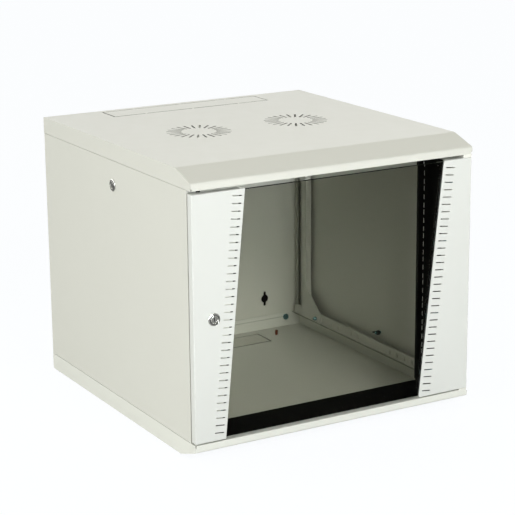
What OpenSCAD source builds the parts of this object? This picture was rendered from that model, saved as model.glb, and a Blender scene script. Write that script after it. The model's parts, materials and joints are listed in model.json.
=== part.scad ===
// Wall-mount 19-inch network cabinet, 9U: sheet-metal shell, smoked-glass door, removable
// side panels and a depth-adjustable rack frame.
// Frame: origin at the centre of the base's underside, front towards -Y, +Z up.

/* [Cabinet] */
// Overall width
cab_w = 570; // [560:1:580]
// Overall depth
cab_d = 600; // [560:10:650]
// Overall height
cab_h = 505; // [495:1:520]
// Thickness of the sheet steel
sheet = 1.5; // [1.2:0.1:1.6]

/* [Roof and base trays] */
// Height of the vertical front lip
lip_h = 13; // [11:1:15]
// How far the front slope drops
slope_drop = 18; // [16:1:20]
// Depth of the front slope
slope_run = 54; // [45:1:60]
// Width of the return along the sides
side_return = 19; // [17:1:20]
// Depth of the return behind the lip
lip_return = 13; // [12:1:14]

/* [Roof vents and cable ports] */
// Distance of each fan grille from the middle
fan_x = 103; // [90:1:110]
// Distance of the grilles behind the front
fan_y = 309; // [290:1:320]
// Outer radius of a grille
fan_r = 60; // [55:1:62]
// Slots in one grille
fan_slots = 24; // [16:2:28]
// Half width of a cable port
port_half_w = 170; // [150:1:175]
// Front edge of the roof's cable port, behind the front
roof_port_y = 524; // [510:1:530]
// Front edge of the base's cable port, behind the front
base_port_y = 519; // [510:1:530]
// Depth of a cable port
port_depth = 58; // [40:1:62]

/* [Door] */
// Width of the door
door_w = 568; // [566:1:568]
// Bottom edge of the door
door_bottom = 33; // [33:1:35]
// Top edge of the door
door_top = 468; // [465:1:470]
// Thickness of the door
door_t = 13.5; // [12:0.5:14]
// Wide end of the hinge-side strip
strip_wide = 107; // [95:1:110]
// Wide end of the lock-side strip
lock_strip_wide = 102; // [95:1:110]
// Narrow end of each side strip
strip_narrow = 59.5; // [55:0.5:65]
// Vent slots in each strip
vent_count = 32; // [20:2:32]
// Length of a vent slot
vent_len = 18.5; // [14:0.5:20]
// Spacing of the vent slots
vent_pitch = 13.25; // [12.5:0.05:13.3]
// Thickness of the glass
glass_t = 5; // [4:0.5:5]

/* [Locks] */
// Middle of the door lock, from the middle of the cabinet
door_lock_x = -245; // [-248:1:-242]
// Height of the door lock
door_lock_z = 250; // [240:1:260]
// Height of the side panel locks
side_lock_z = 429; // [428:1:434]
// Radius of a lock's front ring
bezel_r = 11.5; // [10:0.5:12]
// Length of a lock's cam from its axis
cam_len = 30; // [28:1:31]

/* [Rack frame] */
// Height units
rack_units = 9; // [9]
// Front face of the uprights, behind the cabinet's front
rack_y = 80; // [75:1:82]
// Width of the clear opening
rack_open = 450; // [450]
// Sideways spacing of the hole columns
rack_hole_w = 465.1; // [465.1]
// Side of a square cage-nut hole
cage_hole = 9.5; // [9.5]
// Depth adjustment
rack_travel = 45; // [30:1:45]

/* [Hidden] */
$fn = 48;
eps = 0.5;

half_w = cab_w / 2;
front = -cab_d / 2;
back = cab_d / 2;
flange_h = slope_drop + lip_h;
slope_angle = atan(slope_drop / slope_run);
tray_rear = back - sheet;
unit = 44.45;
unit_holes = [6.35, 22.225, 38.1];
rack_z0 = (cab_h - rack_units * unit) / 2;
upright_t = 2;
relief_r = 3;
relief_h = 4;

// Sheet-metal edges the other pieces are placed from
rail_x = 268;
rail_h = 20;
rail_start = 43;
rail_end = 590;
rail_slots = [155, 180, 205, 230, 343, 368, 418, 443];
clamp_y = rack_y + 13;
clamp_z = flange_h + rail_h / 2;
panel_t = 4.5;
panel_gap = 0.5;
panel_front = 16;
panel_rear = 598;
post_front = 17.5;
post_w = 20;
rear_post_y = 540;
gusset_h = 98;
gusset_y = 484;
key_x = 200;
key_z = 68;
key_r = 8.75;
key_slot_w = 6.5;
key_h = 32;

// Door edges
door_half = door_w / 2;
door_mid_z = (door_top + door_bottom) / 2;
glass_y = 4;
glass_lap = 6;
glass_margin = 2.2;
vent_gap = 5;
hinge_x = 278;
hinge_y = front + 6;
pin_r = 3;
clip_rows = [-13, -5, 5, 13];
clip_w = 9;

// Cam lock
barrel_r = 8;
barrel_len = 20;
plug_r = 5.6;
run_gap = 0.05;
cam_t = 2;
side_lock_y = 296;

shell_colour = [0.87, 0.87, 0.83];
black_colour = [0.05, 0.05, 0.05];
chrome_colour = [0.78, 0.79, 0.8];
zinc_colour = [0.4, 0.55, 0.6];

// A box between two corners
module block(low, high) {
  translate(low) cube(high - low);
}

// A flat piece in the XZ plane, its front face at y0
module xz_sheet(y0, t) {
  translate([0, y0 + t, 0]) rotate([90, 0, 0]) linear_extrude(t) children();
}

// A flat piece in the YZ plane, its inner face at x0
module yz_sheet(x0, t) {
  translate([x0, 0, 0]) rotate([90, 0, 90]) linear_extrude(t) children();
}

// Pieces are drawn for the right and mirrored for the left
module on_side(side) {
  if (side > 0) children();
  else mirror([1, 0, 0]) children();
}

// Pieces are drawn for the base and mirrored for the roof
module at_top() {
  translate([0, 0, cab_h]) mirror([0, 0, 1]) children();
}

// A slot with round ends, along its own X
module slot_2d(len, w) {
  square([len - w, w], center = true);
  for (end = [-1, 1])
    translate([end * (len - w) / 2, 0]) circle(d = w);
}

// ---------- roof and base ----------

function tray_outline(s) = [
  [front + s, flange_h + (s > 0 ? eps : 0)],
  [front + s, slope_drop + s / cos(slope_angle) - s * tan(slope_angle)],
  [front + (slope_drop + s / cos(slope_angle) - s) / tan(slope_angle), s],
  [tray_rear - s, s],
  [tray_rear - s, flange_h + (s > 0 ? eps : 0)]
];

// A tray with a sloped front, a lip, returns along the lip and the sides, and relieved corners
module tray() {
  difference() {
    union() {
      difference() {
        yz_sheet(-half_w, cab_w) polygon(tray_outline(0));
        yz_sheet(-half_w + sheet, cab_w - 2 * sheet) polygon(tray_outline(sheet));
      }
      block([-half_w, front, flange_h - sheet], [half_w, front + lip_return, flange_h]);
      for (side = [-1, 1])
        on_side(side)
          block([half_w - side_return, front, flange_h - sheet], [half_w, tray_rear, flange_h]);
    }
    for (side = [-1, 1])
      translate([side * half_w, front, flange_h - relief_h]) cylinder(r = relief_r, h = relief_h + eps);
  }
}

// The hole of a cable port, grown by g on each side
module port_2d(y0, g) {
  translate([-port_half_w - g, front + y0 - g])
    square([2 * (port_half_w + g), port_depth + 2 * g]);
}

// Radial slots around a plain middle
module fan_grille_2d() {
  inner = fan_r * 0.53;
  for (i = [0 : fan_slots - 1])
    rotate(i * 360 / fan_slots)
      translate([(inner + fan_r) / 2, 0]) slot_2d(fan_r - inner, 3.6);
}

// Holes for the hinge bushes, in the return behind the lip
module hinge_hole() {
  translate([hinge_x, hinge_y, flange_h - sheet - eps]) cylinder(r = 4.5, h = sheet + 2 * eps);
}

module tray_screw_holes() {
  for (x = [-250, 250])
    translate([x, tray_rear - sheet - eps, 21]) rotate([-90, 0, 0]) cylinder(r = 2.6, h = sheet + 2 * eps);
}

module roof_cap() {
  color(shell_colour) at_top() difference() {
    tray();
    translate([0, 0, -eps]) linear_extrude(sheet + 2 * eps) {
      for (side = [-1, 1])
        translate([side * fan_x, front + fan_y]) fan_grille_2d();
      port_2d(roof_port_y, 0);
    }
    hinge_hole();
    tray_screw_holes();
  }
}

module base_tray() {
  color(shell_colour) difference() {
    tray();
    translate([0, 0, -eps]) linear_extrude(sheet + 2 * eps) port_2d(base_port_y, 0);
    hinge_hole();
    tray_screw_holes();
  }
}

// A plate that fills a cable port, held by small bridges until it is broken out
module knockout(y0) {
  cut = 2.4;
  linear_extrude(sheet) {
    port_2d(y0, -cut);
    for (x = [-0.6, 0, 0.6], end = [0, 1])
      translate([x * port_half_w - 2, front + y0 + end * (port_depth - cut)]) square([4, cut]);
  }
}

module roof_knockout() {
  color(shell_colour) at_top() knockout(roof_port_y);
}

module base_knockout() {
  color(shell_colour) knockout(base_port_y);
}

// ---------- back ----------

module keyhole_2d() {
  circle(r = key_r);
  rotate(90) slot_2d(key_h, key_slot_w);
}

module back_panel() {
  inset = 1;
  fold_x = 277;
  fold_d = 8;
  color(shell_colour) {
    difference() {
      xz_sheet(tray_rear, sheet) difference() {
        translate([-half_w + inset, inset]) square([cab_w - 2 * inset, cab_h - 2 * inset]);
        for (x = [-key_x, key_x], z = [key_z, cab_h - key_z])
          translate([x, z]) keyhole_2d();
      }
      for (x = [-250, 250], z = [21, cab_h - 21])
        translate([x, tray_rear - eps, z]) rotate([-90, 0, 0]) cylinder(r = 2.6, h = sheet + 2 * eps);
    }
    for (side = [-1, 1])
      on_side(side)
        block([fold_x, tray_rear - fold_d, flange_h + 5], [fold_x + sheet, tray_rear, cab_h - flange_h - 5]);
  }
}

// A pan-head screw along +Z, its head's seat at z = 0 and its shank below
module pan_screw(head_r, head_h, shank_r, len) {
  difference() {
    rotate_extrude() polygon([
      [0, -len], [shank_r, -len], [shank_r, 0], [head_r, 0],
      [head_r, head_h * 0.5], [head_r * 0.7, head_h], [0, head_h]
    ]);
    for (turn = [0, 90])
      rotate(turn) translate([-head_r * 0.55, -0.5, head_h * 0.4]) cube([head_r * 1.1, 1, head_h]);
  }
}

module back_panel_screws() {
  color(zinc_colour)
    for (x = [-250, 250], z = [21, cab_h - 21])
      translate([x, tray_rear - sheet, z]) rotate([90, 0, 0]) pan_screw(6.5, 3.4, 2.5, 2 * sheet);
}

// ---------- frame inside ----------

module front_post(side) {
  flange_in = side > 0 ? 271 : 266;
  web = 280;
  low = flange_h;
  high = cab_h - flange_h;
  y0 = front + post_front;
  y1 = y0 + 24;
  color(shell_colour) on_side(side) {
    block([flange_in, y0, low], [web, y0 + sheet, high]);
    block([web - sheet, y0, low], [web, y1, high]);
    block([web - 10, y1 - sheet, low], [web, y1, high]);
  }
}

// The post's web with a triangular foot at each end
module rear_post_web_2d() {
  y0 = front + rear_post_y;
  y1 = y0 + post_w;
  polygon([
    [y1, flange_h], [y1, cab_h - flange_h], [front + gusset_y, cab_h - flange_h],
    [front + gusset_y, cab_h - flange_h - rail_h], [y0, cab_h - gusset_h], [y0, gusset_h],
    [front + gusset_y, flange_h + rail_h], [front + gusset_y, flange_h]
  ]);
}

module gusset_hole() {
  translate([rail_x - 2 * sheet - eps, front + 502, flange_h + 8]) rotate([0, 90, 0])
    cylinder(r = 3.1, h = 4 * sheet);
}

module rear_post(side) {
  web_x = rail_x - sheet;
  low = flange_h + rail_h + 2;
  high = cab_h - low;
  y0 = front + rear_post_y;
  color(shell_colour) on_side(side) {
    difference() {
      yz_sheet(web_x, sheet) rear_post_web_2d();
      gusset_hole();
      at_top() gusset_hole();
    }
    block([web_x, y0, low], [279, y0 + sheet, high]);
    block([web_x, y0 + post_w - sheet, low], [279, y0 + post_w, high]);
  }
}

// A slotted angle along the depth: a foot on the tray's return and an upright web
module depth_rail_blank() {
  corner = 10;
  z0 = flange_h;
  z1 = flange_h + rail_h;
  y0 = front + rail_start;
  y1 = front + rail_end;
  travel_slot = rack_travel + 9;
  difference() {
    yz_sheet(rail_x, sheet) difference() {
      union() {
        translate([y0, z0]) square([y1 - y0 - corner, rail_h]);
        translate([y1 - corner - eps, z0]) square([corner + eps, rail_h - corner]);
        translate([y1 - corner, z1 - corner]) circle(r = corner);
      }
      for (y = rail_slots)
        translate([front + y, clamp_z]) rotate(90) slot_2d(9, 4);
      translate([front + clamp_y + rack_travel / 2, clamp_z]) slot_2d(travel_slot, 6.8);
    }
    gusset_hole();
  }
  block([rail_x, y0, z0], [279, y1, z0 + sheet]);
}

module depth_rail(side) {
  color(shell_colour) on_side(side) depth_rail_blank();
}

module frame_screws() {
  color(zinc_colour)
    for (side = [-1, 1])
      on_side(side) {
        gusset_screw();
        at_top() gusset_screw();
      }
}

module gusset_screw() {
  translate([rail_x - sheet, front + 502, flange_h + 8]) rotate([0, -90, 0]) pan_screw(4.2, 5.5, 3, 8);
}

module base_earth_stud() {
  color([0.55, 0.25, 0.15]) translate([key_x, front + 551, sheet]) cylinder(r = 3, h = 10);
}

// ---------- hinge ----------

// A bush with a block that keeps the door its gap away from the tray
module hinge_bush(block_t) {
  difference() {
    union() {
      translate([0, 0, -3.5]) cylinder(r = 4.4, h = 3.5 + block_t);
      block([-11, -5.4, 0], [6, 5.4, block_t]);
    }
    translate([0, 0, -4]) cylinder(r = pin_r + run_gap, h = block_t + 8);
  }
}

module hinge_bushes() {
  play = 0.1;
  color([0.9, 0.9, 0.86]) {
    translate([hinge_x, hinge_y, flange_h]) hinge_bush(door_bottom - flange_h - play);
    at_top() translate([hinge_x, hinge_y, flange_h]) hinge_bush(cab_h - flange_h - door_top - play);
  }
}

// A shouldered pin: shank in the door's end fold and the bush, collar inside the door
module hinge_pin(z0, z1, collar_z) {
  color(chrome_colour) translate([hinge_x, hinge_y, 0]) {
    translate([0, 0, z0]) cylinder(r = pin_r, h = z1 - z0);
    translate([0, 0, collar_z]) cylinder(r = 4.2, h = 2.5);
  }
}

module upper_hinge_pin() {
  hinge_pin(door_top - 12, cab_h - flange_h + 8, door_top - sheet - 2.5);
}

module lower_hinge_pin() {
  hinge_pin(flange_h - 8, door_bottom + 12, door_bottom + sheet);
}

// ---------- rack frame ----------

module cage_holes_2d() {
  for (u = [0 : rack_units - 1], h = unit_holes)
    translate([rack_hole_w / 2, rack_z0 + u * unit + h]) square(cage_hole, center = true);
}

module upright(side) {
  depth = 20;
  inner = rack_open / 2;
  outer = 264.5;
  wing = 279;
  end = 5;
  y0 = front + rack_y;
  wing_low = flange_h + rail_h + 2;
  tab_low = flange_h + 2;
  tab_high = flange_h + rail_h - 2;
  color(black_colour) on_side(side) {
    difference() {
      xz_sheet(y0, upright_t) difference() {
        union() {
          translate([inner, end]) square([outer - inner, cab_h - 2 * end]);
          translate([outer - eps, wing_low]) square([wing - outer + eps, cab_h - 2 * wing_low]);
        }
        cage_holes_2d();
        for (x = [236, 256], z = [20, cab_h - 20])
          translate([x, z]) circle(r = 2.6);
        translate([258, cab_h - 64.5]) slot_2d(19, 3);
      }
    }
    block([inner, y0, flange_h + 6], [inner + upright_t, y0 + 6, cab_h - flange_h - 6]);
    block([wing - upright_t, y0, wing_low], [wing, y0 + depth, cab_h - wing_low]);
    block([238, y0 + depth - upright_t, wing_low], [wing, y0 + depth, cab_h - wing_low]);
    block([238, y0 + depth - upright_t, flange_h + 6], [258, y0 + depth, cab_h - flange_h - 6]);
    clamp_tab(y0, outer, tab_low, tab_high);
    at_top() clamp_tab(y0, outer, tab_low, tab_high);
  }
}

// A tab folded back from the upright's end, bolted to the depth rail
module clamp_tab(y0, outer, low, high) {
  difference() {
    block([outer - eps, y0, low], [outer + 2, y0 + 26, high]);
    translate([outer - 1, front + clamp_y, clamp_z]) rotate([0, 90, 0]) cylinder(r = 3.1, h = 4);
  }
}

module crossbar_blank() {
  half = 262;
  y0 = front + rack_y + upright_t;
  bottom = 3;
  color(black_colour) difference() {
    union() {
      block([-half, y0, bottom], [half, y0 + sheet, flange_h + 4]);
      block([-half, y0, bottom], [half, y0 + 16, bottom + sheet]);
    }
    for (side = [-1, 1], x = [236, 256])
      translate([side * x, y0 - 1, 20]) rotate([-90, 0, 0]) cylinder(r = 2.6, h = sheet + 2);
  }
}

module lower_crossbar() {
  crossbar_blank();
}

module upper_crossbar() {
  at_top() crossbar_blank();
}

module at_crossbar_joints(y) {
  for (side = [-1, 1], x = [236, 256], z = [20, cab_h - 20])
    translate([side * x, y, z]) children();
}

module crossbar_screws() {
  color(black_colour) at_crossbar_joints(front + rack_y) rotate([90, 0, 0]) pan_screw(4.5, 2.8, 2.5, 9);
}

// A hexagon nut along +Z from z = 0
module hex_nut(flats, h, bore) {
  difference() {
    cylinder(d = flats / cos(30), h = h, $fn = 6);
    translate([0, 0, -eps]) cylinder(r = bore, h = h + 2 * eps);
  }
}

module crossbar_nuts() {
  y0 = front + rack_y + upright_t + sheet;
  color(zinc_colour) at_crossbar_joints(y0) rotate([-90, 0, 0]) hex_nut(8, 4, 2.5);
}

module at_clamps(x) {
  for (side = [-1, 1], z = [clamp_z, cab_h - clamp_z])
    on_side(side) translate([x, front + clamp_y, z]) rotate([0, 90, 0]) children();
}

// The bolt's head bears on the tab; its shank runs out through the rail's slot
module rack_clamp_bolts() {
  color(zinc_colour) at_clamps(264.5 - eps) mirror([0, 0, 1]) pan_screw(5.5, 3.2, 3, 12);
}

module rack_clamp_nuts() {
  color(zinc_colour) at_clamps(rail_x + sheet + 0.4) hex_nut(10, 4, 3);
}

// ---------- door ----------

// The slanted inner edge of a strip drawn for the right-hand side, at height z
function strip_edge(z, wide) =
  door_half - wide + (wide - strip_narrow) * (z - door_bottom) / (door_top - door_bottom);
function strip_slant(wide) = atan((wide - strip_narrow) / (door_top - door_bottom));

// A band along the slanted edge, from offset a to offset b behind it
module edge_band_2d(a, b, low, high, wide) {
  polygon([
    [strip_edge(low, wide) + a, low], [strip_edge(low, wide) + b, low],
    [strip_edge(high, wide) + b, high], [strip_edge(high, wide) + a, high]
  ]);
}

function vent_z(i) = door_mid_z + (i - (vent_count - 1) / 2) * vent_pitch;
function clip_z(row) = door_mid_z + row * vent_pitch;

// The vent slots stand square to the slanted edge
module strip_skin_2d(wide) {
  difference() {
    polygon([
      [strip_edge(door_bottom, wide), door_bottom], [door_half, door_bottom],
      [door_half, door_top], [strip_edge(door_top, wide), door_top]
    ]);
    for (i = [0 : vent_count - 1])
      translate([strip_edge(vent_z(i), wide), vent_z(i)]) rotate(-strip_slant(wide))
        translate([vent_gap + vent_len / 2, 0]) slot_2d(vent_len, 2);
  }
}

// The right-hand strip; the left one is the same pressing turned half a turn
module strip_blank(wide) {
  hem = 10;
  xz_sheet(front, sheet) strip_skin_2d(wide);
  block([door_half - sheet, front, door_bottom], [door_half, front + door_t, door_top]);
  block([door_half - hem, front + door_t - sheet, door_bottom], [door_half, front + door_t, door_top]);
  xz_sheet(front, 3) edge_band_2d(0, sheet, door_bottom, door_top, wide);
  for (z = [door_bottom, door_top - sheet])
    block([strip_edge(z, wide) + 8, front, z], [door_half, front + door_t, z + sheet]);
  for (row = clip_rows)
    translate([strip_edge(clip_z(row), wide) + 17, front + 1, clip_z(row)]) rotate([-90, 0, 0])
      cylinder(r = 2, h = 7.5);
}

module turned() {
  translate([0, 0, 2 * door_mid_z]) rotate([0, 180, 0]) children();
}

module door_left_strip() {
  color(shell_colour) difference() {
    turned() strip_blank(lock_strip_wide);
    translate([door_lock_x, front - 1, door_lock_z]) rotate([-90, 0, 0]) cylinder(r = barrel_r + 0.2, h = 4);
  }
}

module door_right_strip() {
  color(shell_colour) difference() {
    strip_blank(strip_wide);
    for (z = [door_bottom - 1, door_top - sheet - 1])
      translate([hinge_x, hinge_y, z]) cylinder(r = pin_r + run_gap, h = sheet + 2);
  }
}

module door_glass() {
  low = door_bottom + glass_margin;
  high = door_top - glass_margin;
  color([0.2, 0.22, 0.2, 0.45]) xz_sheet(front + glass_y, glass_t) polygon([
    [strip_edge(low, strip_wide) + glass_lap, low], [strip_edge(high, strip_wide) + glass_lap, high],
    [-strip_edge(low, lock_strip_wide) - glass_lap, high],
    [-strip_edge(high, lock_strip_wide) - glass_lap, low]
  ]);
}

module gasket_blank(wide) {
  color(black_colour)
    xz_sheet(front + 3, glass_y - 3) edge_band_2d(0.3, glass_lap, door_bottom + 4, door_top - 4, wide);
}

module left_glass_gasket() {
  turned() gasket_blank(lock_strip_wide);
}

module right_glass_gasket() {
  gasket_blank(strip_wide);
}

// One clip: a foot on the strip, a riser and a tongue over the glass
module glass_clip() {
  glass_rear = glass_y + glass_t;
  difference() {
    translate([0, 0, -clip_w / 2]) linear_extrude(clip_w) polygon([
      [24, 1.5], [24, 3], [10, 3], [10, glass_rear + 1.5], [1.5, glass_rear + 1.5],
      [1.5, glass_rear], [8.5, glass_rear], [8.5, 1.5]
    ]);
    translate([17, 0, 0]) rotate([-90, 0, 0]) cylinder(r = 2.1, h = 5);
  }
}

module at_clips(wide) {
  for (row = clip_rows)
    translate([strip_edge(clip_z(row), wide), front, clip_z(row)]) children();
}

module clips_both_sides() {
  at_clips(strip_wide) children();
  turned() at_clips(lock_strip_wide) children();
}

module glass_clips() {
  color(chrome_colour) clips_both_sides() glass_clip();
}

module glass_clip_nuts() {
  color(zinc_colour) clips_both_sides()
    translate([17, 3, 0]) rotate([-90, 0, 0]) hex_nut(7, 3.2, 2);
}

// ---------- locks ----------
// Drawn along +Z, the outer face of the sheet at z = 0, then turned to the door or a panel.

module lock_barrel() {
  color(chrome_colour) difference() {
    rotate_extrude() polygon([
      [0, -barrel_len], [barrel_r, -barrel_len], [barrel_r, 0], [bezel_r, 0],
      [bezel_r, 1.2], [bezel_r - 1.6, 2.6], [plug_r + 1.2, 2.6], [plug_r + 0.4, 2], [0, 2]
    ]);
    translate([0, 0, -barrel_len - eps]) cylinder(r = plug_r + run_gap, h = barrel_len + 4);
  }
}

module lock_nut() {
  color(zinc_colour) translate([0, 0, -sheet - 4]) hex_nut(22, 4, barrel_r);
}

module lock_plug() {
  color(chrome_colour) difference() {
    union() {
      translate([0, 0, -barrel_len]) cylinder(r = plug_r, h = barrel_len + 1.8);
      translate([-3.5, -3.5, -barrel_len - cam_t]) cube([7, 7, cam_t]);
    }
    translate([-0.8, -3.6, -6]) cube([1.6, 7.2, 10]);
    translate([0, 0, -barrel_len - cam_t - eps]) cylinder(r = 2, h = 7);
  }
}

module lock_cam(turn) {
  w = 14;
  color(zinc_colour) translate([0, 0, -barrel_len - cam_t]) rotate(turn) linear_extrude(cam_t) difference() {
    union() {
      circle(d = w);
      translate([-w / 2, -cam_len + 4]) square([w, cam_len - 4]);
      translate([-w / 2 + 3, -cam_len]) square([w - 6, 5]);
    }
    square(7, center = true);
  }
}

module lock_screw() {
  color(zinc_colour) translate([0, 0, -barrel_len - cam_t]) mirror([0, 0, 1]) pan_screw(4.5, 2.4, 2, 6);
}

module on_door() {
  translate([door_lock_x, front, door_lock_z]) rotate([90, 0, 0]) children();
}

module on_panel(side) {
  on_side(side) translate([half_w, front + side_lock_y, side_lock_z]) rotate([90, 0, 90]) children();
}

// ---------- side panels ----------

module side_panel(side) {
  y0 = front + panel_front;
  y1 = front + panel_rear;
  z0 = flange_h + panel_gap;
  z1 = cab_h - z0;
  color(shell_colour) on_side(side) difference() {
    block([half_w - panel_t, y0, z0], [half_w, y1, z1]);
    block([half_w - panel_t - 1, y0 + sheet, z0 + sheet], [half_w - sheet, y1 - sheet, z1 - sheet]);
    translate([half_w - 3, front + side_lock_y, side_lock_z]) rotate([0, 90, 0])
      cylinder(r = barrel_r + 0.2, h = 5);
  }
}

module at_panel_stud(side) {
  on_side(side) translate([half_w - sheet, front + 287, 64]) rotate([0, -90, 0]) children();
}

module panel_stud(side) {
  color([0.55, 0.25, 0.15]) at_panel_stud(side) cylinder(r = 3, h = 12);
}

// A wing nut: a hub and two upswept wings
module wing_nut(side) {
  color(black_colour) at_panel_stud(side) translate([0, 0, 4]) difference() {
    union() {
      cylinder(r1 = 5, r2 = 4.2, h = 5);
      rotate([90, 0, 0]) rotate([0, 90, 0]) translate([0, 0, -1.2]) linear_extrude(2.4) polygon([
        [-10, 4], [-9, 9], [-6, 9], [-3, 5], [3, 5], [6, 9], [9, 9], [10, 4], [4, 0.5], [-4, 0.5]
      ]);
    }
    translate([0, 0, -eps]) cylinder(r = 3, h = 6);
    translate([0, 0, 5]) cylinder(r = 3, h = 6);
  }
}

roof_cap();
roof_knockout();
base_tray();
base_knockout();
back_panel();
back_panel_screws();
front_post(-1);  // left_front_post
front_post(1);  // right_front_post
rear_post(-1);  // left_rear_post
rear_post(1);  // right_rear_post
depth_rail(-1);  // left_lower_rail
depth_rail(1);  // right_lower_rail
at_top() depth_rail(-1);  // left_upper_rail
at_top() depth_rail(1);  // right_upper_rail
frame_screws();
base_earth_stud();
hinge_bushes();
upright(-1);  // left_upright
upright(1);  // right_upright
lower_crossbar();
upper_crossbar();
crossbar_screws();
crossbar_nuts();
rack_clamp_bolts();
rack_clamp_nuts();
door_left_strip();
door_right_strip();
door_glass();
left_glass_gasket();
right_glass_gasket();
glass_clips();
glass_clip_nuts();
upper_hinge_pin();
lower_hinge_pin();
on_door() lock_barrel();  // door_lock_barrel
on_door() lock_nut();  // door_lock_nut
on_door() lock_plug();  // door_lock_plug
on_door() lock_cam(0);  // door_lock_cam
on_door() lock_screw();  // door_lock_screw
side_panel(-1);  // left_side_panel
panel_stud(-1);  // left_panel_stud
wing_nut(-1);  // left_wing_nut
on_panel(-1) lock_barrel();  // left_lock_barrel
on_panel(-1) lock_nut();  // left_lock_nut
on_panel(-1) lock_plug();  // left_lock_plug
on_panel(-1) lock_cam(90);  // left_lock_cam
on_panel(-1) lock_screw();  // left_lock_screw
side_panel(1);  // right_side_panel
panel_stud(1);  // right_panel_stud
wing_nut(1);  // right_wing_nut
on_panel(1) lock_barrel();  // right_lock_barrel
on_panel(1) lock_nut();  // right_lock_nut
on_panel(1) lock_plug();  // right_lock_plug
on_panel(1) lock_cam(90);  // right_lock_cam
on_panel(1) lock_screw();  // right_lock_screw
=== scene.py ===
import json
import math

import bmesh
import bpy
from mathutils import Matrix, Vector


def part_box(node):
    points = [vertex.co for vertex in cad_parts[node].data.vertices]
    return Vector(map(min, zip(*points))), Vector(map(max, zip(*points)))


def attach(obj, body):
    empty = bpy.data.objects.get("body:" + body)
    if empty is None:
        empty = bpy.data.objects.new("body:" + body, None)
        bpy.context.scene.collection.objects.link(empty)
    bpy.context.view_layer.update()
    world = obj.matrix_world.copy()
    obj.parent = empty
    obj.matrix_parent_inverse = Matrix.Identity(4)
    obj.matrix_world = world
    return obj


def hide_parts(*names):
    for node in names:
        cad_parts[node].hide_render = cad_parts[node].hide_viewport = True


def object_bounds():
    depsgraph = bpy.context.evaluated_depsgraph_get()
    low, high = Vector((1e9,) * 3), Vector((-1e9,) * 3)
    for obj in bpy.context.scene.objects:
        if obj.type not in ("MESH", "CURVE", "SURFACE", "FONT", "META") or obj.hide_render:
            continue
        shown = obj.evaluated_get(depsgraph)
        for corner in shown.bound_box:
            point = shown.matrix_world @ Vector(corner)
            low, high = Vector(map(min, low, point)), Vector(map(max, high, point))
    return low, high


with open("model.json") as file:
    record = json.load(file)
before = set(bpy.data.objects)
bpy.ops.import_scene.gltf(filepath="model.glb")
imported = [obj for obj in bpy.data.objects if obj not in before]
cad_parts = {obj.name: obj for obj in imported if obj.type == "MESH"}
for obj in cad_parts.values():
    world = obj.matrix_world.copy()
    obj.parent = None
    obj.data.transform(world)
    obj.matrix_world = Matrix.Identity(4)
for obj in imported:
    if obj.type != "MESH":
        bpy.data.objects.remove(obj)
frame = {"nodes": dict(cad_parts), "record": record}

# Wall-mount 19-inch network cabinet in cream powder coat, with a smoked-glass door,
# lift-off side panels and a black rack frame. Lengths are in metres unless said otherwise.

MM = 0.001
CAD_LOW, CAD_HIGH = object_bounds()
CABINET_MID = (CAD_LOW + CAD_HIGH) / 2
SCENE = bpy.context.scene
NODES = frame["nodes"]
RECORD = frame["record"]
BODY_OF = {n: body for body, nodes in RECORD["behaviour"]["bodies"].items() for n in nodes}
SLOT_OF = {part["node"]: part["material_slot"] for part in RECORD["subparts"]}

SHEET = 1.5 * MM
CUT_FACE = 1.15 * SHEET  # a face narrower than this is the cut edge of a sheet
TOUCH = 0.1 * MM  # points nearer than this lie in one plane
WELD = 2e-6
SIDES = ("left", "right")


# ---------------------------------------------------------------- finishes


class Nodes:
    """Adds nodes to one tree in columns and wires them."""

    def __init__(self, tree):
        self.tree = tree
        self.count = 0

    def add(self, kind, label="", **settings):
        node = self.tree.nodes.new(kind)
        node.label = label
        node.location = (220 * (self.count // 4), -260 * (self.count % 4))
        self.count += 1
        for key, value in settings.items():
            if key.startswith("in_"):
                name = key[3:].replace("_", " ")
                node.inputs[int(name) if name.isdigit() else name].default_value = value
            else:
                setattr(node, key, value)
        return node

    def wire(self, start, end):
        self.tree.links.new(start, end)

    def math(self, operation, first, second, clamp=False):
        node = self.add("ShaderNodeMath", operation=operation, use_clamp=clamp)
        for slot, value in enumerate((first, second)):
            if isinstance(value, (int, float)):
                node.inputs[slot].default_value = value
            else:
                self.wire(value, node.inputs[slot])
        return node.outputs[0]

    def remap(self, value, low, high, to_low=0.0, to_high=1.0):
        node = self.add("ShaderNodeMapRange", in_From_Min=low, in_From_Max=high,
                        in_To_Min=to_low, in_To_Max=to_high)
        self.wire(value, node.inputs["Value"])
        return node.outputs["Result"]

    def noise(self, where, scale, detail=2.0, rough=0.5):
        node = self.add("ShaderNodeTexNoise", in_Scale=scale, in_Detail=detail, in_Roughness=rough)
        self.wire(where, node.inputs["Vector"])
        return node.outputs["Fac"]


def shader_group(name, inputs, outputs):
    """A node group with float or colour sockets; returns it with its builder and ends."""
    kinds = {"float": "NodeSocketFloat", "colour": "NodeSocketColor"}
    tree = bpy.data.node_groups.new(name, "ShaderNodeTree")
    for socket, kind, value in inputs:
        made = tree.interface.new_socket(socket, in_out="INPUT", socket_type=kinds[kind])
        made.default_value = value
    for socket, kind in outputs:
        tree.interface.new_socket(socket, in_out="OUTPUT", socket_type=kinds[kind])
    build = Nodes(tree)
    start = build.add("NodeGroupInput")
    end = build.add("NodeGroupOutput")
    return tree, build, start.outputs, end.inputs


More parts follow.
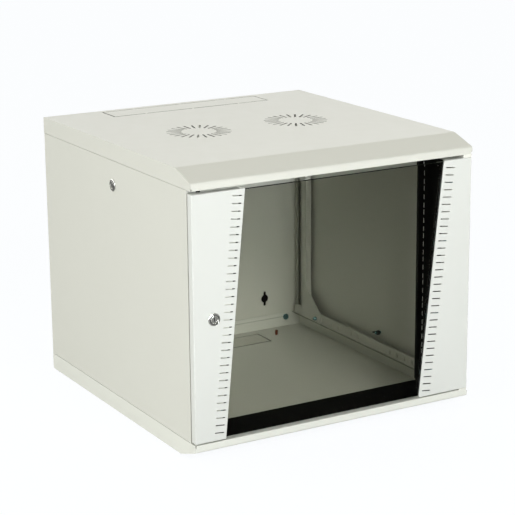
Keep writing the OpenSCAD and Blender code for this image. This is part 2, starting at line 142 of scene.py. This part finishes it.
def make_powder_group():
    """Baked powder paint: fine orange peel, faint drift of shade and of gloss."""
    tree, b, given, out = shader_group(
        "Powder paint",
        [("Colour", "colour", (1, 1, 1, 1)), ("Roughness", "float", 0.4),
         ("Peel Scale", "float", 620.0), ("Drift", "float", 0.03)],
        [("Colour", "colour"), ("Roughness", "float"), ("Height", "float")])
    place = b.add("ShaderNodeTexCoord").outputs["Object"]
    drift = b.noise(place, 5.0, 3.0)
    speck = b.noise(place, 1900.0, 1.0)
    speck_share = 0.2
    shade = b.math("ADD", b.math("MULTIPLY", drift, 1 - speck_share),
                   b.math("MULTIPLY", speck, speck_share))
    swing = b.math("MULTIPLY", b.math("SUBTRACT", shade, 0.5), given["Drift"])
    tint = b.add("ShaderNodeMix", data_type="RGBA", blend_type="MULTIPLY")
    tint.inputs["Factor"].default_value = 1.0
    grey = b.add("ShaderNodeCombineColor")
    level = b.math("ADD", 1.0, swing)
    for channel in ("Red", "Green", "Blue"):
        b.wire(level, grey.inputs[channel])
    b.wire(given["Colour"], tint.inputs["A"])
    b.wire(grey.outputs["Color"], tint.inputs["B"])
    b.wire(tint.outputs["Result"], out["Colour"])
    gloss = b.remap(b.noise(place, 38.0, 2.0), 0.0, 1.0, -0.05, 0.05)
    b.wire(b.math("ADD", given["Roughness"], gloss), out["Roughness"])
    peel = b.add("ShaderNodeTexNoise", in_Detail=1.5)
    b.wire(place, peel.inputs["Vector"])
    b.wire(given["Peel Scale"], peel.inputs["Scale"])
    b.wire(peel.outputs["Fac"], out["Height"])
    return tree


def make_smudge_group():
    """Where hands and cloths have dulled a polished surface."""
    tree, b, given, out = shader_group(
        "Handling marks",
        [("Roughness", "float", 0.1), ("Amount", "float", 0.1), ("Scale", "float", 30.0)],
        [("Roughness", "float")])
    place = b.add("ShaderNodeTexCoord").outputs["Object"]
    cloud = b.add("ShaderNodeTexNoise", in_Detail=4.0, in_Roughness=0.6)
    b.wire(place, cloud.inputs["Vector"])
    b.wire(given["Scale"], cloud.inputs["Scale"])
    mask = b.remap(cloud.outputs["Fac"], 0.45, 0.75)
    dulled = b.math("MULTIPLY", mask, given["Amount"])
    b.wire(b.math("ADD", given["Roughness"], dulled), out["Roughness"])
    return tree


def make_plating_group():
    """Plated metal: fine scratches and a slow change of tone."""
    tree, b, given, out = shader_group(
        "Plating",
        [("Colour", "colour", (1, 1, 1, 1)), ("Tarnish", "colour", (0.5, 0.5, 0.5, 1)),
         ("Roughness", "float", 0.3)],
        [("Colour", "colour"), ("Roughness", "float"), ("Height", "float")])
    place = b.add("ShaderNodeTexCoord").outputs["Object"]
    grain = b.add("ShaderNodeMapping")
    grain.inputs["Scale"].default_value = (400, 400, 2600)
    b.wire(place, grain.inputs["Vector"])
    scratch = b.noise(grain.outputs["Vector"], 1.0, 2.0)
    cloud = b.noise(place, 160.0, 3.0)
    mix = b.add("ShaderNodeMix", data_type="RGBA")
    b.wire(b.remap(cloud, 0.35, 0.75), mix.inputs["Factor"])
    b.wire(given["Colour"], mix.inputs["A"])
    b.wire(given["Tarnish"], mix.inputs["B"])
    b.wire(mix.outputs["Result"], out["Colour"])
    worn = b.remap(scratch, 0.2, 0.8, -0.06, 0.1)
    b.wire(b.math("ADD", given["Roughness"], worn), out["Roughness"])
    b.wire(scratch, out["Height"])
    return tree


POWDER = make_powder_group()
SMUDGE = make_smudge_group()
PLATING = make_plating_group()


def rgba(colour):
    return (*colour, 1.0)


def new_material(name):
    """A material with the builder of its nodes and its Principled shader."""
    material = bpy.data.materials.new(name)
    material.use_nodes = True
    shader = material.node_tree.nodes["Principled BSDF"]
    return material, Nodes(material.node_tree), shader


def use_group(build, tree, **values):
    """Adds a group node; an underscore in a keyword stands for the space in a socket's name."""
    node = build.add("ShaderNodeGroup", node_tree=tree)
    for key, value in values.items():
        node.inputs[key.replace("_", " ")].default_value = value
    return node.outputs


def bump(build, shader, height, strength, depth):
    """Relief from a height output, depth in metres."""
    node = build.add("ShaderNodeBump", in_Strength=strength, in_Distance=depth)
    build.wire(height, node.inputs["Height"])
    build.wire(node.outputs["Normal"], shader.inputs["Normal"])


def powder_paint(name, colour, roughness, specular=0.5, drift=0.03, peel=620.0, depth=0.12):
    material, b, shader = new_material(name)
    made = use_group(b, POWDER, Colour=rgba(colour), Roughness=roughness, Peel_Scale=peel,
                     Drift=drift)
    b.wire(made["Colour"], shader.inputs["Base Color"])
    b.wire(made["Roughness"], shader.inputs["Roughness"])
    shader.inputs["Specular IOR Level"].default_value = specular
    bump(b, shader, made["Height"], 0.35, depth * MM)
    return material


def plated(name, colour, tarnish, roughness, depth=0.01):
    material, b, shader = new_material(name)
    made = use_group(b, PLATING, Colour=rgba(colour), Tarnish=rgba(tarnish), Roughness=roughness)
    b.wire(made["Colour"], shader.inputs["Base Color"])
    b.wire(made["Roughness"], shader.inputs["Roughness"])
    shader.inputs["Metallic"].default_value = 1.0
    bump(b, shader, made["Height"], 0.3, depth * MM)
    return material


def polished(name, colour):
    """Satin nickel plate with faint handling marks; its grain scatters part of the light."""
    material, b, shader = new_material(name)
    made = use_group(b, SMUDGE, Roughness=0.13, Amount=0.1, Scale=220.0)
    b.wire(made["Roughness"], shader.inputs["Roughness"])
    shader.inputs["Base Color"].default_value = rgba(colour)
    shader.inputs["Metallic"].default_value = 0.8
    return material


def smoked_glass(name, tint):
    """Grey body-tinted glass that lets lamp light straight through to what is behind it. Both
    faces tint what is seen through it, so the pane passes about the square of the tint."""
    material, b, shader = new_material(name)
    made = use_group(b, SMUDGE, Roughness=0.0, Amount=0.03, Scale=9.0)
    b.wire(made["Roughness"], shader.inputs["Coat Roughness"])
    shader.inputs["Coat Weight"].default_value = 0.15
    shader.inputs["Roughness"].default_value = 0.0
    shader.inputs["Base Color"].default_value = rgba(tint)
    shader.inputs["Transmission Weight"].default_value = 1.0
    shader.inputs["IOR"].default_value = 1.5
    clear = b.add("ShaderNodeBsdfTransparent")
    path = b.add("ShaderNodeLightPath")
    mix = b.add("ShaderNodeMixShader")
    b.wire(path.outputs["Is Shadow Ray"], mix.inputs["Fac"])
    b.wire(shader.outputs["BSDF"], mix.inputs[1])
    b.wire(clear.outputs["BSDF"], mix.inputs[2])
    b.wire(mix.outputs["Shader"], material.node_tree.nodes["Material Output"].inputs["Surface"])
    return material


def moulded(name, colour, roughness, scale, depth):
    """Moulded plastic or foam with a fine even grain."""
    material, b, shader = new_material(name)
    made = use_group(b, POWDER, Colour=rgba(colour), Roughness=roughness, Peel_Scale=scale,
                     Drift=0.25)
    b.wire(made["Colour"], shader.inputs["Base Color"])
    b.wire(made["Roughness"], shader.inputs["Roughness"])
    bump(b, shader, made["Height"], 0.5, depth * MM)
    return material


CREAM = powder_paint("cream_powder_coat", (0.62, 0.625, 0.57), 0.36)
# Painted light: the door's strips and the base take lighter, cooler copies of the shell paint,
# standing in for the front light these faces catch.
DOOR_LIT_CREAM = powder_paint("door_powder_coat_painted_light", (0.63, 0.645, 0.615), 0.38)
BASE_LIT_CREAM = powder_paint("base_powder_coat_painted_light", (0.69, 0.70, 0.645), 0.36)
BLACK = powder_paint("black_powder_coat", (0.003, 0.003, 0.003), 0.22, specular=0.16, drift=0.3)
# Painted highlight: light grey for the glint on the side walls of the rack holes.
HOLE_HIGHLIGHT = powder_paint("painted_hole_highlights", (0.60, 0.61, 0.61), 0.5)
# Painted shade: dark grey for the walls inside the fan slots and knock-out cuts.
SLOT_SHADE = powder_paint("painted_slot_shade", (0.16, 0.16, 0.14), 0.6)
# Painted highlight: grey for the glint along the front folds of the rack uprights.
FOLD_HIGHLIGHT = powder_paint("painted_fold_highlight", (0.26, 0.27, 0.28), 0.3)
GLASS = smoked_glass("smoked_door_glass", (0.573, 0.568, 0.512))
GLASS_EDGE = moulded("smoked_glass_edge", (0.006, 0.008, 0.006), 0.12, 60.0, 0.01)
CHROME = polished("chrome_plate", (0.84, 0.84, 0.80))
ZINC = plated("blue_zinc_plate", (0.30, 0.52, 0.58), (0.16, 0.32, 0.38), 0.22)
COPPER = plated("copper_plate", (0.25, 0.075, 0.045), (0.15, 0.045, 0.03), 0.36)
FOAM = moulded("foam_gasket", (0.012, 0.012, 0.012), 0.9, 1500.0, 0.2)
PLASTIC = moulded("black_plastic", (0.015, 0.015, 0.015), 0.5, 900.0, 0.05)
NYLON = moulded("nylon_bush", (0.72, 0.72, 0.66), 0.45, 700.0, 0.03)
KEYWAY = moulded("keyway_shadow", (0.01, 0.01, 0.01), 0.7, 900.0, 0.02)

FINISH = {
    "shell_paint": CREAM, "rack_paint": BLACK, "smoked_glass": GLASS, "chrome_plate": CHROME,
    "zinc_plate": ZINC, "copper_plate": COPPER, "black_foam": FOAM, "black_plastic": PLASTIC,
    "nylon": NYLON,
}
# The door's strips and the base wear the painted-light copies of the shell paint.
SPECIAL = {"door_left_strip": DOOR_LIT_CREAM, "door_right_strip": DOOR_LIT_CREAM,
           "base_tray": BASE_LIT_CREAM}


def finish_of(node):
    return SPECIAL.get(node, FINISH[SLOT_OF[node]])


for node, thing in NODES.items():
    thing.data.materials.clear()
    thing.data.materials.append(finish_of(node))


# ---------------------------------------------------------------- rounding the sheet metal


def stand_in(name, bm, node, *materials):
    """Makes bm a piece shown instead of a CAD node, on its body and in its finish."""
    mesh = bpy.data.meshes.new(name)
    bm.to_mesh(mesh)
    bm.free()
    if "custom_normal" in mesh.attributes:
        mesh.attributes.remove(mesh.attributes["custom_normal"])
    for material in materials or (finish_of(node),):
        mesh.materials.append(material)
    piece = bpy.data.objects.new(name, mesh)
    SCENE.collection.objects.link(piece)
    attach(piece, BODY_OF[node])
    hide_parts(node)
    return piece


def weighted_normals(piece):
    modifier = piece.modifiers.new("even shading", "WEIGHTED_NORMAL")
    modifier.keep_sharp = True
    modifier.weight = 100


def turn_at(edge):
    """The angle in degrees between an edge's two faces; nothing at an open edge."""
    return math.degrees(edge.calc_face_angle(0.0)) if len(edge.link_faces) == 2 else 0.0


def mark_sharp(bm, degrees=32.0):
    for face in bm.faces:
        face.smooth = True
    for edge in bm.edges:
        edge.smooth = len(edge.link_faces) == 2 and turn_at(edge) < degrees


def merged(node):
    """A node's mesh with its triangles joined and its flat faces made whole."""
    bm = bmesh.new()
    bm.from_mesh(NODES[node].data)
    for face in bm.faces:
        face.material_index = 0
    bmesh.ops.remove_doubles(bm, verts=bm.verts, dist=WELD)
    bmesh.ops.dissolve_limit(bm, angle_limit=math.radians(0.4), verts=bm.verts, edges=bm.edges,
                             use_dissolve_boundaries=False)
    return bm


def mean_width(face):
    return 2 * face.calc_area() / max(face.calc_perimeter(), 1e-9)


def bevel(bm, edges, offset, segments):
    """Rounds those of the edges that are still there, offset in metres."""
    edges = [e for e in edges if e.is_valid]
    if edges:
        bmesh.ops.bevel(bm, geom=edges, offset=offset, offset_type="OFFSET", segments=segments,
                        profile=0.5, affect="EDGES", clamp_overlap=True, material=-1)


def slot_walls(bm):
    """The narrow walls of cuts through a level sheet, painted dark grey as the shade inside them.
    """
    upright = 0.1
    return [f for f in bm.faces if abs(f.normal.z) < upright and mean_width(f) < CUT_FACE
            and all(abs(v.co.z - f.calc_center_median().z) < SHEET for v in f.verts)]


def in_plane(edge, axis, value):
    return all(abs(v.co[axis] - value) < TOUCH for v in edge.verts)


def sheet_edges(bm):
    """Sorts a pressed part's edges into outer bends, inner bends and cut edges."""
    least_turn, square_turn, least_bend = 10, 40, 6 * MM
    thin = {f for f in bm.faces if mean_width(f) < CUT_FACE}
    outer, inside, cuts = [], [], []
    for e in bm.edges:
        if turn_at(e) < least_turn:
            continue
        touching = [f for f in e.link_faces if f in thin]
        if not touching and e.calc_length() > least_bend:
            if e.is_convex:
                outer.append(e)
            elif turn_at(e) > square_turn:
                inside.append(e)
        elif len(touching) == 1 and e.is_convex:
            cuts.append(e)
    return outer, inside, cuts


def folded_sheet(node, bend, inner=0.8, edge=0.25, seams=(), slots_dark=False):
    """A pressed part: rounded outside and inside its bends, and deburred along its long cuts.
    Bends at the seams, planes given as (axis, value) where another sheet meets it, are tight.
    Widths are in millimetres."""
    tight, longest_left_sharp = 0.5, 25
    bm = merged(node)
    outer, inside, cuts = sheet_edges(bm)
    cuts = [e for e in cuts if e.calc_length() > longest_left_sharp * MM]
    at_seam = [e for e in outer if any(in_plane(e, axis, value) for axis, value in seams)]
    bevel(bm, [e for e in outer if e not in at_seam], bend * MM, 4)
    bevel(bm, at_seam, tight * MM, 2)
    bevel(bm, inside, inner * MM, 2)
    bevel(bm, cuts, edge * MM, 1)
    # The walls of the slots take the painted shade.
    if slots_dark:
        for face in slot_walls(bm):
            face.material_index = 1
    mark_sharp(bm)
    weighted_normals(stand_in(node + "_pressed", bm, node, finish_of(node), SLOT_SHADE))


def broken_edges(node, width, segments=2, slots_dark=False):
    """A solid part with its edges slightly rounded, to a width in millimetres."""
    sharp_turn = 35
    bm = merged(node)
    if slots_dark:
        for face in slot_walls(bm):
            face.material_index = 1
    bevel(bm, [e for e in bm.edges if e.is_convex and turn_at(e) > sharp_turn],
          width * MM, segments)
    mark_sharp(bm)
    weighted_normals(stand_in(node + "_finished", bm, node, finish_of(node), SLOT_SHADE))


PANELS = ("left_side_panel", "right_side_panel")
STRIPS = ("door_left_strip", "door_right_strip")
FOLDED = ("back_panel", "left_front_post", "right_front_post", "left_rear_post", "right_rear_post",
          "left_lower_rail", "right_lower_rail", "left_upper_rail", "right_upper_rail",
          "lower_crossbar", "upper_crossbar", "glass_clips")
MACHINED = ("back_panel_screws", "frame_screws", "crossbar_screws", "crossbar_nuts",
            "rack_clamp_bolts", "rack_clamp_nuts", "glass_clip_nuts", "hinge_bushes",
            "upper_hinge_pin", "lower_hinge_pin")
for node, seam_end in (("roof_cap", 0), ("base_tray", 1)):
    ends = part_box(node)
    folded_sheet(node, bend=3.2, inner=1.6, slots_dark=True,
                 seams=[(2, ends[seam_end].z), (0, ends[0].x), (0, ends[1].x)])
for node in PANELS:
    folded_sheet(node, bend=0.7)
for node in STRIPS:
    folded_sheet(node, bend=2.0, seams=[(1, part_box(node)[1].y)])
for node in FOLDED:
    folded_sheet(node, bend=1.7, inner=0.6, edge=0.2)
for node in MACHINED:
    broken_edges(node, 0.25)
for node in ("roof_knockout", "base_knockout"):
    broken_edges(node, 0.15, segments=1, slots_dark=True)
for side in SIDES:
    broken_edges(f"{side}_wing_nut", 0.7, segments=3)


# ---------------------------------------------------------------- glass and rack uprights


def door_pane():
    """The glass with arrissed edges; its ground edges look almost black."""
    arris, sharp_turn, facing = 0.5 * MM, 35, 0.99
    bm = merged("door_glass")
    bevel(bm, [e for e in bm.edges if turn_at(e) > sharp_turn], arris, 1)
    for face in bm.faces:
        face.material_index = 0 if abs(face.normal.y) > facing else 1
    mark_sharp(bm)
    stand_in("door_pane", bm, "door_glass", GLASS, GLASS_EDGE)


def hole_walls(bm, low, high):
    """The upright walls of the square holes in an upright's front face."""
    plate, margin, facing = 2 * MM, 3 * MM, 0.9
    walls = set()
    for face in bm.faces:
        middle = face.calc_center_median()
        if (abs(face.normal.x) > facing and mean_width(face) < 1.15 * plate
                and middle.y < low.y + plate
                and low.x + margin < middle.x < high.x - margin
                and 4 * MM < face.calc_perimeter() < 26 * MM):
            walls.add(face)
    return walls


def rack_upright(node):
    """The upright with painted highlights in light grey on the side walls of its square cage-nut
    holes and along its two long front folds."""
    fold, broken, least_broken, least_fold = 1.5 * MM, 0.4 * MM, 12 * MM, 300 * MM
    square_turn, rounded, strip_area = 40, 0.25, 40 * MM * MM
    low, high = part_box(node)
    bm = merged(node)
    walls = hole_walls(bm, low, high)
    # The hole walls take the painted highlight.
    for face in walls:
        face.material_index = 1
    outer = [e for e in bm.edges if turn_at(e) > square_turn and e.calc_length() > least_broken
             and not any(f in walls for f in e.link_faces)]
    folds = [e for e in outer if e.is_convex and e.calc_length() > least_fold
             and in_plane(e, 1, low.y)]
    bevel(bm, [e for e in outer if e not in folds], broken, 2)
    bevel(bm, folds, fold, 4)
    # The rounded front folds take the painted highlight.
    for face in bm.faces:
        turned = abs(face.normal.x) > rounded and face.normal.y < -rounded
        if turned and face.calc_area() > strip_area:
            face.material_index = 2
    mark_sharp(bm)
    weighted_normals(stand_in(node + "_profile", bm, node, BLACK, HOLE_HIGHLIGHT, FOLD_HIGHLIGHT))


door_pane()
for side in SIDES:
    rack_upright(f"{side}_upright")


# ---------------------------------------------------------------- locks and studs


def outward(node, axis, sign):
    """A frame at a round part: z along its axis and outwards, y up."""
    low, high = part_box(node)
    middle = (low + high) / 2
    z = Vector((0, 0, 0))
    z[axis] = sign
    up = Vector((0, 0, 1)) if axis != 2 else Vector((0, 1, 0))
    x = up.cross(z).normalized()
    turn = Matrix((x, z.cross(x), z)).transposed().to_4x4()
    middle[axis] = high[axis] if sign > 0 else low[axis]
    return Matrix.Translation(middle) @ turn


def turned_part(profile, steps=64):
    """Spins a closed outline of (radius, height), in millimetres, about z."""
    bm = bmesh.new()
    corners = [bm.verts.new((r * MM, 0, z * MM)) for r, z in profile]
    edges = [bm.edges.new(pair) for pair in zip(corners, corners[1:] + corners[:1])]
    bmesh.ops.spin(bm, geom=corners + edges, cent=(0, 0, 0), axis=(0, 0, 1),
                   angle=2 * math.pi, steps=steps, use_merge=True)
    bmesh.ops.remove_doubles(bm, verts=bm.verts, dist=WELD / 2)
    bmesh.ops.recalc_face_normals(bm, faces=bm.faces)
    return bm


def thread(radius, depth, pitch, start, stop):
    """The outline of ring threads between two heights."""
    outline = []
    count = int((stop - start) / pitch)
    for i in range(count):
        z = start + i * pitch
        outline += [(radius - depth, z), (radius, z + pitch * 0.35), (radius, z + pitch * 0.6)]
    return outline + [(radius - depth, stop)]


def lock_barrel(node, place_at):
    """A cam lock's threaded barrel with a domed front ring and a dark groove inside it. The
    outline is in millimetres from the ring's seat, which is lift behind the front, z = 0."""
    lift, groove_floor, groove_in, groove_out, slack = -2.6, 0.6, 7.4, 8.5, 0.05
    outline = [(5.65, -20), (7.2, -20)] + thread(8.0, 0.45, 1.0, -19.6, -1.6) + [
        (7.9, -0.6), (7.9, 0), (11.3, 0), (11.5, 0.2), (11.5, 0.7), (11.3, 1.2), (10.9, 1.6),
        (10.4, 1.85), (9.2, 2.2), (8.8, 2.2), (8.6, 2.1), (groove_out, 1.9),
        (groove_out, groove_floor), (groove_in, groove_floor), (groove_in, 2.3), (7.25, 2.5),
        (7, 2.6), (6.6, 2.55), (6.3, 2.2), (6.1, 1.2), (5.65, 1.1)]
    bm = turned_part([(r, z + lift) for r, z in outline])
    for face in bm.faces:
        middle = face.calc_center_median() / MM
        in_groove = groove_in - slack < math.hypot(middle.x, middle.y) < groove_out + slack
        face.material_index = int(in_groove and middle.z > lift + groove_floor - 2 * slack)
    bm.transform(place_at)
    mark_sharp(bm, 40)
    stand_in(node + "_turned", bm, node, CHROME, KEYWAY)


def lock_plug(node, place_at):
    """The plug with a dark keyway cut into its face."""
    keyway_x, keyway_y, deepest, corner = 0.82, 3.65, -9, 0.35 * MM
    bm = merged(node)
    back = place_at.inverted()
    for face in bm.faces:
        spot = back @ face.calc_center_median() / MM
        inside = abs(spot.x) < keyway_x and abs(spot.y) < keyway_y
        face.material_index = int(inside and deepest < spot.z < -0.1)
    bevel(bm, [e for e in bm.edges if e.is_convex and turn_at(e) > 50
               and all(f.material_index == 0 for f in e.link_faces)], corner, 2)
    mark_sharp(bm, 40)
    weighted_normals(stand_in(node + "_turned", bm, node, CHROME, KEYWAY))


def stud(node, axis, sign, radius, length):
    """A threaded weld stud, its free end chamfered; sizes in millimetres."""
    outline = [(0, -length), (radius - 0.4, -length)] + thread(
        radius, 0.35, 0.8, -length + 0.4, -0.6) + [(radius - 0.7, 0), (0, 0)]
    bm = turned_part(outline, 32)
    bm.transform(outward(node, axis, sign))
    mark_sharp(bm, 50)
    stand_in(node + "_threaded", bm, node)


OUTWARD = {"door_lock": (1, -1), "left_lock": (0, -1), "right_lock": (0, 1)}
for lock, (axis, sign) in OUTWARD.items():
    lock_barrel(f"{lock}_barrel", outward(f"{lock}_barrel", axis, sign))
    lock_plug(f"{lock}_plug", outward(f"{lock}_plug", axis, sign))
    for part in ("nut", "cam", "screw"):
        broken_edges(f"{lock}_{part}", 0.3)
stud("base_earth_stud", 2, 1, 3.0, 10.0)
stud("left_panel_stud", 0, 1, 3.0, 12.0)
stud("right_panel_stud", 0, -1, 3.0, 12.0)


# ---------------------------------------------------------------- floor, light and camera


def studio_floor():
    """Pale paper floor. It glows for the camera, so that it is evenly white, and bounces light
    onto the cabinet, but seen in a mirror or through glass it is as dark as a black card."""
    half_size = 30.0
    bounce, under_glow, black_card = (0.96, 0.96, 0.95), (0.07, 0.07, 0.07), (0.008, 0.008, 0.008)
    glow = (0.925, 0.94, 0.955)
    bm = bmesh.new()
    bmesh.ops.create_grid(bm, x_segments=1, y_segments=1, size=half_size,
                          matrix=Matrix.Translation((CABINET_MID.x, CABINET_MID.y, CAD_LOW.z)))
    mesh = bpy.data.meshes.new("studio_floor")
    bm.to_mesh(mesh)
    bm.free()
    material, b, shader = new_material("pale_floor")
    path = b.add("ShaderNodeLightPath")
    shader.inputs["Roughness"].default_value = 0.9
    shader.inputs["Specular IOR Level"].default_value = 0.0
    seen = b.add("ShaderNodeMix", data_type="RGBA")
    seen.inputs["A"].default_value = rgba(bounce)
    seen.inputs["B"].default_value = rgba(under_glow)
    b.wire(path.outputs["Is Camera Ray"], seen.inputs["Factor"])
    dim = b.add("ShaderNodeMix", data_type="RGBA")
    dim.inputs["B"].default_value = rgba(black_card)
    b.wire(path.outputs["Is Glossy Ray"], dim.inputs["Factor"])
    b.wire(seen.outputs["Result"], dim.inputs["A"])
    b.wire(dim.outputs["Result"], shader.inputs["Base Color"])
    shader.inputs["Emission Color"].default_value = rgba(glow)
    b.wire(path.outputs["Is Camera Ray"], shader.inputs["Emission Strength"])
    mesh.materials.append(material)
    floor = bpy.data.objects.new("studio_floor", mesh)
    SCENE.collection.objects.link(floor)


def soft_box(name, where, aim, width, height, power, colour):
    """A rectangular soft light; sizes in metres, power in watts."""
    lamp = bpy.data.lights.new(name, "AREA")
    lamp.shape = "RECTANGLE"
    lamp.size, lamp.size_y = width, height
    lamp.energy = power
    lamp.color = colour
    thing = bpy.data.objects.new(name, lamp)
    thing.location = where
    thing.rotation_euler = (Vector(aim) - Vector(where)).to_track_quat("-Z", "Y").to_euler()
    SCENE.collection.objects.link(thing)


def studio_world():
    """White to the camera. As light, brightest at the horizon beside and behind the cabinet,
    dimmer and warmer overhead, and almost dark ahead, where the soft boxes stand."""
    horizon, overhead, shown_white = (1.72, 1.74, 1.75), (0.45, 0.425, 0.33), (0.975, 0.99, 1.0)
    dark_ahead, full_behind = 0.015, 1.12
    world = bpy.data.worlds.new("studio")
    world.use_nodes = True
    b = Nodes(world.node_tree)
    back = world.node_tree.nodes["Background"]
    place = b.add("ShaderNodeTexCoord").outputs["Generated"]
    split = b.add("ShaderNodeSeparateXYZ")
    b.wire(place, split.inputs["Vector"])
    height = b.remap(split.outputs["Z"], 0.0, 1.0)
    ahead = b.remap(split.outputs["Y"], -0.65, 0.25, dark_ahead, full_behind)
    light = b.add("ShaderNodeMix", data_type="RGBA")
    light.inputs["A"].default_value = rgba(horizon)
    light.inputs["B"].default_value = rgba(overhead)
    b.wire(height, light.inputs["Factor"])
    path = b.add("ShaderNodeLightPath")
    shown = b.add("ShaderNodeMix", data_type="RGBA")
    shown.inputs["B"].default_value = rgba(shown_white)
    graded = b.add("ShaderNodeVectorMath", operation="SCALE")
    b.wire(light.outputs["Result"], graded.inputs[0])
    b.wire(ahead, graded.inputs["Scale"])
    b.wire(graded.outputs["Vector"], shown.inputs["A"])
    b.wire(path.outputs["Is Camera Ray"], shown.inputs["Factor"])
    b.wire(shown.outputs["Result"], back.inputs["Color"])
    SCENE.world = world


def camera():
    """Stands left of the front and above, level to within a degree, with a long lens."""
    stand = (-1.58437, -2.77624, 1.11424)
    yaw, pitch, roll = 0.52201, -0.26287, -0.00938
    lens, sensor = 122.77, 36.0
    nearest, farthest = 0.05, 200.0
    forward = Vector((math.sin(yaw) * math.cos(pitch), math.cos(yaw) * math.cos(pitch),
                      math.sin(pitch)))
    level = forward.cross(Vector((0, 0, 1))).normalized()
    upward = level.cross(forward)
    right = level * math.cos(roll) + upward * math.sin(roll)
    up = upward * math.cos(roll) - level * math.sin(roll)
    turn = Matrix((right, up, -forward)).transposed().to_4x4()
    data = bpy.data.cameras.new("camera")
    data.lens = lens
    data.sensor_width = sensor
    data.clip_start, data.clip_end = nearest, farthest
    thing = bpy.data.objects.new("camera", data)
    thing.matrix_world = Matrix.Translation(stand) @ turn
    SCENE.collection.objects.link(thing)
    SCENE.camera = thing


studio_floor()
studio_world()
soft_box("front_soft_box", where=(-0.15, -3.4, 0.5), aim=(-0.1, -0.3, 0.2),
         width=0.5, height=0.9, power=41.5, colour=(0.93, 0.965, 1.0))
soft_box("high_soft_box", where=(0.0, -2.6, 1.8), aim=(0.1, -0.1, 0.1),
         width=1.2, height=0.4, power=33, colour=(0.98, 0.98, 0.96))
soft_box("left_soft_box", where=(-3.8, -1.0, 0.8), aim=(-0.3, 0, 0.25),
         width=1.6, height=1.6, power=60, colour=(0.97, 0.98, 0.99))
camera()
SCENE.view_settings.view_transform = "Standard"
SCENE.view_settings.look = "None"
